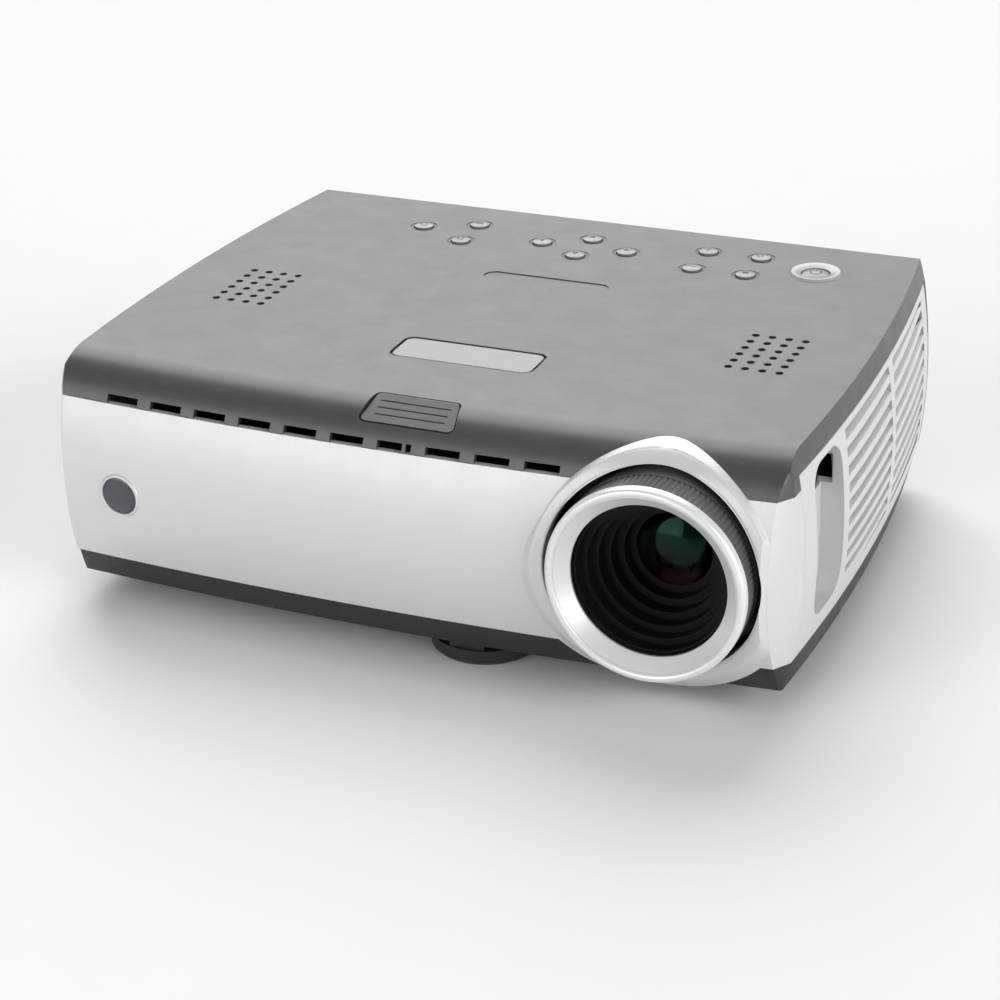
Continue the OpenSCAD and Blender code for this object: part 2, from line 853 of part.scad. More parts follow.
module mirror_chip_board() {
    color("darkgreen") span([66, engine_y1 + 0.2, 24], [122, engine_y1 + 1.8, 76]);
    color("black") span([lens_x - 10, engine_y1 - 3, lens_z - 7.5],
        [lens_x + 10, engine_y1 + 0.2, lens_z + 7.5]);
}

module chip_heatsink() {
    color("silver") union() {
        span([lens_x - 16, engine_y1 + 1.8, lens_z - 16], [lens_x + 16, engine_y1 + 5, lens_z + 16]);
        for (i = [0 : 6])
            span([lens_x - 16 + i * 5, engine_y1 + 4.8, lens_z - 16],
                [lens_x - 14 + i * 5, engine_y1 + 18, lens_z + 16]);
    }
}

module lamp_housing() {
    color("lightgray") difference() {
        span([-52, -29, 20], [10, 29, 82]);
        span([-49.5, -26.5, 22.5], [11, 26.5, 79.5]);
        for (i = [0 : 5]) span([-60, -20 + i * 7, 28], [-40, -16.5 + i * 7, 76]);
    }
}

// Reflector bowl on the lamp's axis, with the burner tube at its focus
module lamp() {
    color("whitesmoke") translate([-40, 0, lens_z]) rotate([0, 90, 0])
        rotate_extrude($fn = round_fn) difference() {
            union() {
                intersection() {
                    translate([0, 26]) circle(r = 25, $fn = round_fn);
                    square([25, 26]);
                }
                translate([0, 25]) square([24.9, 9]);
                translate([0, -6]) square([6, 12]);
            }
            intersection() {
                translate([0, 26]) circle(r = 23, $fn = round_fn);
                square([25, 26]);
            }
            translate([0, 25.9]) square([22.9, 9]);
            translate([0, -7]) square([2.6, 14]);
        }
    color("white") rod_x(-45, -12, 0, lens_z, 2.6);
}

module lamp_door() {
    color("black") difference() {
        union() {
            span([-54, -36, floor_z], [12, 36, inner_z]);
            for (at = DOOR_SCREWS) post(at[0], at[1], floor_z, floor_z + 6, 4);
        }
        for (at = DOOR_SCREWS) {
            post(at[0], at[1], floor_z - 1, floor_z + 8, 1.5);
            post(at[0], at[1], floor_z - 1, floor_z + 1.6, 3.1);
        }
        for (i = [0 : 4]) span([-24, -32 + i * 3, floor_z - 1], [-2, -30.6 + i * 3, floor_z + 0.8]);
    }
}

// ---------- cooling, power and electronics ----------

module exhaust_fan_frame() {
    color("black") difference() {
        union() {
            difference() {
                span([fan_x0, fan_y - 30, fan_z - 30], [fan_x1, fan_y + 30, fan_z + 30]);
                rod_x(fan_x0 - 1, fan_x1 + 1, fan_y, fan_z, 28);
            }
            rod_x(fan_x1 - 2, fan_x1, fan_y, fan_z, 13);
            for (a = [0, 90]) translate([fan_x1 - 1, fan_y, fan_z]) rotate([a, 0, 0])
                cube([2, 57, 3], center = true);
        }
        rod_x(fan_x1 - 9, fan_x1 + 1, fan_y, fan_z, 1.55);
        for (sy = [-1, 1], sz = [-1, 1])
            rod_x(fan_x0 - 1, fan_x1 + 1, fan_y + sy * 25, fan_z + sz * 25, 2);
    }
}

module exhaust_fan_rotor() {
    color("black") union() {
        rod_x(fan_x0 + 1, fan_x1 - 3, fan_y, fan_z, 12.5);
        rod_x(fan_x1 - 5, fan_x1 - 0.5, fan_y, fan_z, 1.5);
        intersection() {
            for (i = [0 : 6]) translate([(fan_x0 + fan_x1) / 2 - 1, fan_y, fan_z])
                rotate([i * 360 / 7, 0, 0]) rotate([0, 0, 38]) translate([-7, -0.7, 0])
                    cube([14, 1.4, 27]);
            rod_x(fan_x0 + 1, fan_x1 - 3, fan_y, fan_z, 27);
        }
    }
}

module main_board() {
    color("darkgreen") span([-60, 50, 55.4], [112, 101.5, 57]);
    color("black") for (chip = [[-30, 60, 22], [10, 57, 30], [60, 60, 16], [88, 62, 14]])
        span([chip[0], chip[1], 57], [chip[0] + chip[2], chip[1] + chip[2] * 0.8, 59.4]);
}

module power_supply() {
    color("tan") span([-94, 36, 16], [-14, 84, 17.6]);
    color("goldenrod") span([-66, 44, 17.6], [-40, 70, 44]);
    color("black") for (y = [44, 58, 72]) post(-80, y, 17.6, 42, 5);
    color("silver") span([-32, 42, 17.6], [-29, 78, 46]);
}

module lamp_ballast() {
    color("tan") span([-110, -31, 16], [-58, 31, 17.6]);
    color("ivory") span([-104, -26, 17.6], [-64, 26, 36]);
}

module speakers() {
    for (side = [-1, 1]) color("black")
        translate([side * speaker_x, speaker_y, 0]) rotate_extrude($fn = round_fn)
            polygon([[0, 81], [8, 81], [8, 84], [17, 90], [17, 92], [14, 92], [7, 87], [0, 87]]);
}

module power_inlet() {
    color("black") union() {
        difference() {
            span([inlet_x - 14.8, 86, inlet_z - 14.2], [inlet_x + 14.8, back_y + 1, inlet_z + 14.2]);
            translate([inlet_x, 91, inlet_z]) rotate([-90, 0, 0]) linear_extrude(height = 30)
                polygon([[-11.5, 4.2], [-11.5, -7.5], [11.5, -7.5], [11.5, 4.2], [8.2, 7.5],
                    [-8.2, 7.5]]);
        }
    }
    color("silver") for (pin = [[-7, -2], [7, -2], [0, 2.2]])
        span([inlet_x - 1 + pin[0], 90, inlet_z - 2 + pin[1]],
            [inlet_x + 1 + pin[0], 103, inlet_z + 2 + pin[1]]);
}

module video_sockets() {
    for (i = [0 : 2]) {
        s = VIDEO_SOCKETS[i];
        color("silver") span([s[0] - s[1] / 2, 84, socket_z - 6.4],
            [s[0] + s[1] / 2, back_y + 0.4, socket_z + 6.4]);
        color(i == 2 ? "white" : "royalblue") difference() {
            translate([s[0], back_y + 0.4, socket_z]) rotate([-90, 0, 0])
                linear_extrude(height = 2.6) rounded(s[1] - 12, 8, 2);
            for (k = [-3 : 3])
                rod_y(s[0] + k * (s[1] - 16) / 7, socket_z, back_y + 1.4, back_y + 4, 0.5);
        }
        color("silver") for (side = [-1, 1])
            rod_y(s[0] + side * (s[1] / 2 - 3), socket_z, back_y + 0.4, back_y + 3.2, 2.3);
    }
}

module av_jacks() {
    bores = [4, 1.8, 1.8];
    for (i = [0 : 2]) {
        s = AV_JACKS[i];
        color("black") union() {
            difference() {
                rod_y(s[0], socket_z, 90, back_y + 2.6, s[1]);
                rod_y(s[0], socket_z, back_y + 0.4, back_y + 3, bores[i]);
            }
            span([s[0] - s[1], 86, 57.2], [s[0] + s[1], 100, socket_z]);
        }
    }
}

// ---------- draw ----------

for (i = [0 : len(KEYS) - 1]) small_key(i);
top_cover();
front_panel();
left_side_panel();
right_side_panel();
rear_panel();
base_tray();
ir_window();
label_plate();
key_rings();
power_ring();
power_key();
keypad_board();
release_button();
release_slider();
release_spring();
lift_foot();
foot_guide();
rear_rubber_foot();
tilt_wheel();
tilt_post();
lens_bezel();
focus_ring();
zoom_ring();
lens_barrel();
front_lens_cell();
front_lens();
zoom_cell();
zoom_lens();
optical_engine();
light_tunnel();
colour_wheel();
wheel_motor();
mirror_chip_board();
chip_heatsink();
lamp_housing();
lamp();
lamp_door();
exhaust_fan_frame();
exhaust_fan_rotor();
main_board();
power_supply();
lamp_ballast();
speakers();
power_inlet();
video_sockets();
av_jacks();
case_screws();
mounting_inserts();
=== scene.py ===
import json
import math
import bmesh
import bpy
from mathutils import Matrix, Vector


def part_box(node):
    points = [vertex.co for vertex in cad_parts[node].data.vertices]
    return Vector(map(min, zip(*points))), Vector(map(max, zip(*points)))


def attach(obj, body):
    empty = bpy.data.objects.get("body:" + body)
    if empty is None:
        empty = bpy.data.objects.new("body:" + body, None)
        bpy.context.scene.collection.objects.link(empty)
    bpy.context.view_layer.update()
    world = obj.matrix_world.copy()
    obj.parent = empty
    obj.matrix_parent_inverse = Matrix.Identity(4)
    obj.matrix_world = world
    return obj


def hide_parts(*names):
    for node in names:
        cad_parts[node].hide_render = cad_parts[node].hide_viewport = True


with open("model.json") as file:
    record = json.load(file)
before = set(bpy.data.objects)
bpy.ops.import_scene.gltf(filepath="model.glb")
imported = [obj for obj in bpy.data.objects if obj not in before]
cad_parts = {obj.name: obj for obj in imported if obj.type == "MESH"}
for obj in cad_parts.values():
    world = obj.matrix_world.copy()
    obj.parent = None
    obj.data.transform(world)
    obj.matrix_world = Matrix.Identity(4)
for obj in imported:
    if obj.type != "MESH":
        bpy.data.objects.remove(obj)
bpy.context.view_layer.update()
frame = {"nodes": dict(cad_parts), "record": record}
NODES = frame["nodes"]
RECORD = frame["record"]
MM = 0.001

for name in ("Cube", "Light", "Camera"):
    if name in bpy.data.objects and name not in NODES:
        bpy.data.objects.remove(bpy.data.objects[name])

# ---------------------------------------------------------------- materials


class Tree:
    """A material's node tree with short calls for the nodes that the finishes use."""

    def __init__(self, name):
        self.mat = bpy.data.materials.new(name)
        self.mat.use_nodes = True
        self.t = self.mat.node_tree
        self.t.nodes.clear()
        self.out = self.new("ShaderNodeOutputMaterial")
        self.bsdf = self.new("ShaderNodeBsdfPrincipled")
        self.link(self.bsdf.outputs[0], self.out.inputs[0])
        self.coord = self.new("ShaderNodeTexCoord").outputs["Object"]

    def new(self, kind):
        return self.t.nodes.new(kind)

    def link(self, a, b):
        self.t.links.new(a, b)

    def put(self, **values):
        for key, value in values.items():
            self.bsdf.inputs[key.replace("_", " ")].default_value = value

    def noise(self, scale, detail=3.0, rough=0.55, stretch=None):
        n = self.new("ShaderNodeTexNoise")
        n.inputs["Scale"].default_value = scale
        n.inputs["Detail"].default_value = detail
        n.inputs["Roughness"].default_value = rough
        if stretch:
            m = self.new("ShaderNodeMapping")
            m.inputs["Scale"].default_value = stretch
            self.link(self.coord, m.inputs["Vector"])
            self.link(m.outputs[0], n.inputs["Vector"])
        else:
            self.link(self.coord, n.inputs["Vector"])
        return n.outputs["Fac"]

    def cells(self, scale, feature="F1"):
        n = self.new("ShaderNodeTexVoronoi")
        n.feature = feature
        n.inputs["Scale"].default_value = scale
        self.link(self.coord, n.inputs["Vector"])
        return n

    def ramp(self, value, low, high, out_low, out_high):
        n = self.new("ShaderNodeMapRange")
        n.inputs["From Min"].default_value = low
        n.inputs["From Max"].default_value = high
        n.inputs["To Min"].default_value = out_low
        n.inputs["To Max"].default_value = out_high
        self.link(value, n.inputs["Value"])
        return n.outputs["Result"]

    def mix(self, factor, a, b):
        n = self.new("ShaderNodeMix")
        n.data_type = "RGBA"
        for socket, value in ((n.inputs[0], factor), (n.inputs[6], a), (n.inputs[7], b)):
            if hasattr(value, "is_linked"):
                self.link(value, socket)
            else:
                socket.default_value = value
        return n.outputs[2]

    def bump(self, height, strength, distance, under=None):
        n = self.new("ShaderNodeBump")
        n.inputs["Strength"].default_value = strength
        n.inputs["Distance"].default_value = distance
        self.link(height, n.inputs["Height"])
        if under:
            self.link(under, n.inputs["Normal"])
        return n.outputs["Normal"]

    def colour(self, socket):
        self.link(socket, self.bsdf.inputs["Base Color"])

    def rough(self, socket):
        self.link(socket, self.bsdf.inputs["Roughness"])

    def normal(self, socket):
        self.link(socket, self.bsdf.inputs["Normal"])


def rgba(c, k=1.0):
    """A colour made darker or lighter by the factor k, with its alpha."""
    return (c[0] * k, c[1] * k, c[2] * k, 1.0)


def metallic_paint(name, base, metallic, rough, coat=0.2, coat_rough=0.25, flake=0.10):
    """Sprayed metallic paint: fine flakes, a slow cloud in tone, and a light orange peel."""
    t = Tree(name)
    t.put(Metallic=metallic, Coat_Weight=coat, Coat_Roughness=coat_rough)
    flakes = t.cells(4200.0)
    cloud = t.ramp(t.noise(26.0, 4.0), 0.3, 0.7, 0.0, 1.0)
    tone = t.mix(cloud, rgba(base, 0.985), rgba(base, 1.015))
    sparkle = t.ramp(flakes.outputs["Color"], 0.0, 1.0, 0.0, 1.0)
    dim = t.mix(0.5, tone, rgba(base, 1.0 - flake))
    bright = t.mix(0.5, tone, rgba(base, 1.0 + flake))
    t.colour(t.mix(sparkle, dim, bright))
    t.rough(t.ramp(t.noise(90.0, 5.0), 0.3, 0.7, rough - 0.03, rough + 0.04))
    peel = t.bump(t.noise(480.0, 2.0), 0.10, 0.0001)
    t.normal(t.bump(flakes.outputs["Distance"], 0.05, 0.00006, peel))
    return t.mat


def moulded(name, base, rough, grain=900.0, depth=0.35, vary=0.12, coat=0.0):
    """Spark-eroded moulded plastic: a fine even grain with slight handling marks."""
    t = Tree(name)
    t.put(Coat_Weight=coat)
    cloud = t.ramp(t.noise(38.0, 4.0), 0.3, 0.7, 0.0, 1.0)
    t.colour(t.mix(cloud, rgba(base, 1.0 - vary), rgba(base, 1.0 + vary)))
    t.rough(t.ramp(t.noise(140.0, 6.0), 0.3, 0.75, rough - 0.05, rough + 0.08))
    pits = t.cells(grain, "SMOOTH_F1")
    fine = t.bump(t.noise(grain * 2.1, 2.0), depth * 0.5, 0.0001)
    t.normal(t.bump(pits.outputs["Distance"], depth, 0.00018, fine))
    return t.mat


def metal(name, base, rough, brushed=None, vary=0.06, grain=260.0, metallic=1.0):
    """Bare or plated metal, brushed along one direction where a stretch is given."""
    t = Tree(name)
    t.put(Metallic=metallic)
    lines = t.noise(grain, 6.0, 0.6, brushed or (1.0, 1.0, 1.0))
    streak = t.ramp(lines, 0.3, 0.7, 0.0, 1.0)
    t.colour(t.mix(streak, rgba(base, 1.0 - vary), rgba(base, 1.0 + vary)))
    t.rough(t.ramp(lines, 0.3, 0.7, rough - 0.06, rough + 0.08))
    t.normal(t.bump(lines, 0.15, 0.00005))
    return t.mat


def flocked(name, base):
    """Dull black finish that swallows stray light inside the lens."""
    t = Tree(name)
    t.put(Specular_IOR_Level=0.16)
    cloud = t.ramp(t.noise(160.0, 4.0), 0.3, 0.7, 0.0, 1.0)
    t.colour(t.mix(cloud, rgba(base, 0.8), rgba(base, 1.2)))
    t.rough(t.ramp(t.noise(300.0, 4.0), 0.3, 0.7, 0.50, 0.62))
    t.normal(t.bump(t.noise(2600.0, 2.0), 0.2, 0.00008))
    return t.mat


# Heights, in metres, between which the lens glass's painted reflection colour changes from the lower
# colour to the upper one, and how far that line wavers
PAINTED_REFLECTION_LOW, PAINTED_REFLECTION_HIGH, PAINTED_REFLECTION_SWIRL = 0.0470, 0.0620, 0.010


def coated_glass(name, tint, film, lower_painted_reflection=None, rough=0.02):
    """Coated glass that reflects one colour; where a second colour is given, its reflection colour is a
    painted reflection that changes with height: the second colour below the middle, the first above.
    """
    t = Tree(name)
    t.put(Transmission_Weight=1.0, IOR=1.62, Specular_IOR_Level=0.5)
    # Painted reflection: the specular tint changes colour with height, so the glass shows one reflection
    # colour above and another below.
    parts = t.new("ShaderNodeSeparateXYZ")
    t.link(t.coord, parts.inputs[0])
    painted_split_height = t.new("ShaderNodeMath")
    painted_split_height.operation = "MULTIPLY_ADD"
    t.link(t.noise(70.0, 1.0), painted_split_height.inputs[0])
    painted_split_height.inputs[1].default_value = PAINTED_REFLECTION_SWIRL
    t.link(parts.outputs["Z"], painted_split_height.inputs[2])
    height = t.ramp(painted_split_height.outputs[0], PAINTED_REFLECTION_LOW, PAINTED_REFLECTION_HIGH, 0.0, 1.0)
    t.link(t.mix(height, rgba(lower_painted_reflection or film), rgba(film)), t.bsdf.inputs["Specular Tint"])
    t.rough(t.ramp(t.noise(60.0, 4.0), 0.35, 0.8, rough, rough + 0.03))
    cloud = t.ramp(t.noise(22.0, 2.0), 0.3, 0.7, 0.0, 1.0)
    t.colour(t.mix(cloud, rgba(tint, 0.97), rgba(tint)))
    return t.mat


def circuit(name):
    """Solder mask with pale pads."""
    t = Tree(name)
    pads = t.cells(190.0)
    dot = t.ramp(pads.outputs["Distance"], 0.16, 0.2, 1.0, 0.0)
    cloud = t.ramp(t.noise(420.0, 3.0), 0.3, 0.7, 0.0, 1.0)
    weave = t.mix(cloud, (0.006, 0.05, 0.02, 1), (0.012, 0.085, 0.035, 1))
    t.colour(t.mix(dot, weave, (0.5, 0.45, 0.3, 1)))
    t.rough(t.ramp(dot, 0.0, 1.0, 0.38, 0.25))
    t.normal(t.bump(dot, 0.3, 0.0001))
    return t.mat


def woven(name, base):
    """Fine grey woven wire: small dark openings between pale wires."""
    t = Tree(name)
    t.put(Metallic=0.5)
    holes = t.cells(1300.0)
    wire = t.ramp(holes.outputs["Distance"], 0.24, 0.42, 0.0, 1.0)
    t.colour(t.mix(wire, rgba(base, 0.45), rgba(base)))
    t.rough(t.ramp(t.noise(120.0, 4.0), 0.3, 0.7, 0.4, 0.5))
    t.normal(t.bump(wire, 0.5, 0.0002))
    return t.mat


# Finishes by the record's material slots, then the extra ones for single faces and pieces
M = {
    "dark_shell": metallic_paint("cover_paint", (0.078, 0.0815, 0.083), 0.52, 0.40, 0.20, 0.27, 0.16),
    "silver_shell": metallic_paint("silver_paint", (0.605, 0.615, 0.61), 0.25, 0.40, 0.15, 0.22, 0.06),
    "trim_metal": metallic_paint("bezel_paint", (0.72, 0.73, 0.735), 0.30, 0.32, 0.25, 0.15, 0.05),
    "rear_plastic": moulded("rear_plastic", (0.030, 0.031, 0.034), 0.50, 820.0, 0.30),
    "black_plastic": moulded("black_plastic", (0.014, 0.0145, 0.016), 0.42, 780.0, 0.30),
    "ir_plastic": moulded("ir_plastic", (0.030, 0.034, 0.044), 0.12, 300.0, 0.02, 0.05, 0.6),
    "plate_metal": metal("plate_metal", (0.29, 0.295, 0.295), 0.48, (0.08, 1.0, 1.0), 0.05, 900.0, 0.5),
    "dark_rubber": moulded("dark_rubber", (0.105, 0.106, 0.108), 0.40, 640.0, 0.20, 0.12),
    "circuit_board": circuit("solder_mask"),
    "inner_nylon": moulded("natural_nylon", (0.56, 0.55, 0.50), 0.45, 500.0, 0.1),
    "spring_steel": metal("zinc_steel", (0.55, 0.55, 0.54), 0.30),
    "lens_black": flocked("lens_black", (0.0050, 0.0052, 0.0064)),
    # Painted reflection on the lens glass: a green reflection above the lens middle and a magenta one
    # below it.
    "lens_glass": coated_glass("lens_glass", (0.34, 0.38, 0.37), (0.08, 0.27, 0.19), (0.20, 0.055, 0.085)),
    "cast_metal": metal("cast_metal", (0.36, 0.36, 0.37), 0.5, None, 0.1, 700.0),
    "wheel_glass": coated_glass("wheel_glass", (0.6, 0.6, 0.9), (0.9, 0.5, 0.4)),
    "bare_aluminium": metal("bare_aluminium", (0.72, 0.73, 0.74), 0.32, (1.0, 1.0, 0.06)),
    "sheet_steel": metal("sheet_steel", (0.58, 0.58, 0.56), 0.36, (0.1, 1.0, 1.0)),
    "reflector": metal("reflector", (0.85, 0.85, 0.83), 0.08, None, 0.02),
    "speaker_paper": moulded("speaker_paper", (0.02, 0.02, 0.021), 0.8, 420.0, 0.5, 0.2),
    "socket_metal": metal("socket_metal", (0.68, 0.68, 0.67), 0.24),
    "insert_brass": metal("insert_brass", (0.70, 0.52, 0.24), 0.26),
    "key_cap": metallic_paint("key_cap_paint", (0.225, 0.221, 0.217), 0.30, 0.38, 0.25, 0.17, 0.08),
    "plug_blue": moulded("plug_blue", (0.010, 0.045, 0.26), 0.40, 700.0, 0.08),
    "plug_white": moulded("plug_white", (0.62, 0.62, 0.60), 0.42, 700.0, 0.08),
    "yellow_plastic": moulded("yellow_plastic", (0.66, 0.46, 0.02), 0.36, 700.0, 0.06),
    "ring_black": moulded("ring_black", (0.020, 0.0205, 0.022), 0.35, 640.0, 0.12, 0.12),
    "ring_silver": metallic_paint("ring_silver", (0.40, 0.405, 0.405), 0.30, 0.36, 0.12, 0.2, 0.05),
    "dust_mesh": woven("dust_mesh", (0.34, 0.34, 0.335)),
    "symbol_ink": moulded("symbol_ink", (0.055, 0.056, 0.060), 0.5, 700.0, 0.05, 0.1),
}
SLOT_OF = {part["node"]: part["material_slot"] for part in RECORD["subparts"]}


def dress(obj, mat):
    """Gives an object one material in place of all its others."""
    obj.data.materials.clear()
    obj.data.materials.append(mat)


SMOOTH_ANGLE, BEVELLED_SMOOTH_ANGLE = 32.0, 17.0


def smooth_cad(obj, bevel):
    """Joins split corners, rounds sharp edges where a bevel is given, and shades curved faces smooth."""
    weld = obj.modifiers.new("weld", "WELD")
    weld.merge_threshold = 2e-6
    if bevel:
        b = obj.modifiers.new("edge", "BEVEL")
        b.width = bevel
        b.segments = 2
        b.limit_method = "ANGLE"
        b.angle_limit = math.radians(SMOOTH_ANGLE)
        b.use_clamp_overlap = False
        b.miter_outer = "MITER_SHARP"
        b.harden_normals = False
    obj.data.polygons.foreach_set("use_smooth", [True] * len(obj.data.polygons))
    split = obj.modifiers.new("crease", "EDGE_SPLIT")
    split.split_angle = math.radians(BEVELLED_SMOOTH_ANGLE if bevel else SMOOTH_ANGLE)
    split.use_edge_sharp = False


BEVELS = {
    "left_side_panel": 0.22 * MM, "right_side_panel": 0.22 * MM,
    "label_plate": 0.15 * MM, "release_button": 0.12 * MM, "power_inlet": 0.2 * MM,
}

for node, obj in NODES.items():
    dress(obj, M[SLOT_OF[node]])
    smooth_cad(obj, BEVELS.get(node, 0.0))


def paint_faces(node, choose, *mats):
    """Adds finishes to a node; choose(x, y, z, normal), in millimetres, names the one for each face."""
    mesh = NODES[node].data
    for mat in mats:
        mesh.materials.append(mat)
    for face in mesh.polygons:
        c = face.center
        face.material_index = choose(c.x / MM, c.y / MM, c.z / MM, face.normal)


# Rear sockets, in millimetres: middle along X, width of the plastic tongue, and its finish
SOCKET_TONGUES = ((-46, 19, 1), (-8, 19, 1), (34, 27, 2))
SOCKET_FACE_Y = 108.35
JACK_FACE_Y, YELLOW_JACK_X, YELLOW_JACK_R = 108.2, 66, 5.2
INLET_X, INLET_Z, INLET_HALF_W, INLET_HALF_H = -84, 40, 9, 5
# Just behind the inlet's pins, just in front of its pocket's floor, just past the pins' ends
PIN_BACK_Y, POCKET_FLOOR_Y, PIN_END_Y = 89.5, 91.2, 103.2


def socket_finish(x, y, z, normal):
    """Blue or white plastic inside the video sockets' metal shells."""
    for middle, width, finish in SOCKET_TONGUES:
        if y >= SOCKET_FACE_Y and abs(x - middle) < width / 2 + 0.3:
            return finish
    return 0


def jack_finish(x, y, z, normal):
    """Yellow plastic on the composite video jack."""
    return 1 if y > JACK_FACE_Y and abs(x - YELLOW_JACK_X) < YELLOW_JACK_R else 0


def inlet_finish(x, y, z, normal):
    """Bare metal on the mains inlet's three pins."""
    inside = abs(x - INLET_X) < INLET_HALF_W and abs(z - INLET_Z) < INLET_HALF_H
    if not inside or not PIN_BACK_Y < y < PIN_END_Y:
        return 0
    return 1 if y > POCKET_FLOOR_Y or abs(normal.y) < 0.5 else 0


dress(NODES["key_rings"], M["ring_black"])
dress(NODES["power_ring"], M["ring_silver"])
paint_faces("video_sockets", socket_finish, M["plug_blue"], M["plug_white"])
paint_faces("av_jacks", jack_finish, M["yellow_plastic"])
paint_faces("power_inlet", inlet_finish, M["socket_metal"])

# ---------------------------------------------------------------- casing geometry, in millimetres
# The same curves as the CAD casing, so that pieces lie on its surface.

BODY_HALF_W, BODY_TOP, SEAM_Z, SKIRT_Z = 141.0, 95.0, 82.0, 21.0
FRONT_Y, FRONT_BOW, FRONT_BULGE = -93.5, 5.8, 5.6
LENS_X, LENS_Z = 93.3, 52.6
BULGE_HALF, BULGE_MID = (SEAM_Z - SKIRT_Z) / 2, (SEAM_Z + SKIRT_Z) / 2
BULGE_R = (BULGE_HALF ** 2 + FRONT_BULGE ** 2) / (2 * FRONT_BULGE)
CROWN_SIN = BULGE_HALF / BULGE_R
CROWN_COS = math.sqrt(1 - CROWN_SIN ** 2)
CROWN_R = (BODY_TOP - SEAM_Z) / (1 - CROWN_SIN)
CORNER_IN, FACET_IN, FACET_BACK = 8, 2.15, 9
CORNER_W, FACET_W, FACET_Y = BODY_HALF_W - CORNER_IN, BODY_HALF_W - FACET_IN, FRONT_Y + FACET_BACK
SWEEP_R = (CORNER_W ** 2 + FRONT_BOW ** 2) / (2 * FRONT_BOW)
SIDE_MID, SIDE_RISE, SIDE_BULGE = 52.0, 35.0, 3.0
SIDE_R = (SIDE_RISE ** 2 + SIDE_BULGE ** 2) / (2 * SIDE_BULGE)
BAND_Z = 86.9
FACET_TURN = math.atan2(FACET_W - CORNER_W, FACET_Y - FRONT_Y)
FACET_INSET, FACET_BLEND = 0.13, 0.5


def side_w(z):
    """Half the casing's width at height z."""
    return BODY_HALF_W - SIDE_R + math.sqrt(SIDE_R ** 2 - (z - SIDE_MID) ** 2)


def front_depth(z, out):
    """Depth behind the front line of the surface moved outwards by out, at height z."""
    if z < SEAM_Z + out * CROWN_SIN:
        return BULGE_R - FRONT_BULGE - math.sqrt((BULGE_R + out) ** 2 - (z - BULGE_MID) ** 2)
    rise = z - (BODY_TOP - CROWN_R)
    return CROWN_R * CROWN_COS - math.sqrt(max((CROWN_R + out) ** 2 - rise * rise, 0.0))


def front_surface(x, z, out=0.0):
    """Y of the front surface, or of the corner facet where that lies further back."""
    radius = SWEEP_R - front_depth(z, out)
    bow = FRONT_Y - FRONT_BOW + SWEEP_R - math.sqrt(radius * radius - x * x)
    shift = side_w(min(z, BAND_Z)) - side_w(SEAM_Z) - FACET_INSET
    nx, ny = math.cos(FACET_TURN), -math.sin(FACET_TURN)
    mid_x, mid_y = (CORNER_W + FACET_W) / 2, (FRONT_Y + FACET_Y) / 2
    facet = mid_y + (shift - (abs(x) - mid_x) * nx) / ny
    return 0.5 * (bow + facet + math.sqrt((bow - facet) ** 2 + FACET_BLEND ** 2))


# ---------------------------------------------------------------- mesh helpers


def new_piece(name, verts, faces, mat, body="casing", smooth=True, angle=40.0):
    """A mesh piece from points in millimetres, shaded smooth except at creases."""
    mesh = bpy.data.meshes.new(name)
    mesh.from_pydata([tuple(c * MM for c in v) for v in verts], [], faces)
    bm = bmesh.new()
    bm.from_mesh(mesh)
    bmesh.ops.remove_doubles(bm, verts=bm.verts, dist=1e-7)
    bmesh.ops.recalc_face_normals(bm, faces=bm.faces)
    bm.to_mesh(mesh)
    bm.free()
    o = bpy.data.objects.new(name, mesh)
    bpy.context.scene.collection.objects.link(o)
    mesh.materials.append(mat)
    if smooth:
        mesh.polygons.foreach_set("use_smooth", [True] * len(mesh.polygons))
        mesh.set_sharp_from_angle(angle=math.radians(angle))
    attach(o, body)
    return o


def swept_ring(section_at, around):
    """Points and faces of a closed ring whose closed section is given at each angle."""
    verts = []
    for i in range(around):
        verts.extend(section_at(2 * math.pi * i / around))
    n = len(verts) // around
    faces = []
    for i in range(around):
        j = (i + 1) % around
        for k in range(n):
            m = (k + 1) % n
            faces.append((i * n + k, i * n + m, j * n + m, j * n + k))
    return verts, faces


def prism(outline, base, top, place):
    """A flat plate from an outline, put in place by a function of (u, v, height)."""
    n = len(outline)
    verts = [place(u, v, base) for u, v in outline] + [place(u, v, top) for u, v in outline]
    faces = [tuple(range(n - 1, -1, -1)), tuple(range(n, 2 * n))]
    faces += [(i, (i + 1) % n, n + (i + 1) % n, n + i) for i in range(n)]
    return verts, faces


def join_meshes(parts):
    """One list of points and one of faces from several pairs of them."""
    verts, faces = [], []
    for v, f in parts:
        off = len(verts)
        verts.extend(v)
        faces.extend(tuple(i + off for i in face) for face in f)
    return verts, faces


# ---------------------------------------------------------------- collar round the lens


COLLAR_BORE, COLLAR_EDGE, COLLAR_RAISE = 37.24, 41.62, 2.56
BORE_ROUND, EDGE_ROUND, EDGE_SINK, SKIRT_DEPTH = 0.5, 0.6, 0.35, 1.1
COLLAR_FACE_IN, COLLAR_FACE_OUT = COLLAR_BORE + BORE_ROUND, COLLAR_EDGE - EDGE_ROUND
# Width of the fall where it is crisp and what the soft part adds; the sine of the angle where the
# fall is fully soft, and over how much of the sine it turns crisp
CRISP_FALL, SOFT_FALL = 0.55, 5.2
SOFT_SINE, SOFT_SPAN = -0.15, 0.62
# Bore edge of the collar's section: distance out from the bore, and depth behind the face
BORE_EDGE = ((0.0, 3.2), (0.0, 0.9), (0.06, 0.42), (0.22, 0.14))
FACE_STEPS, FALL_STEPS, COLLAR_AROUND = 4, 9, 240


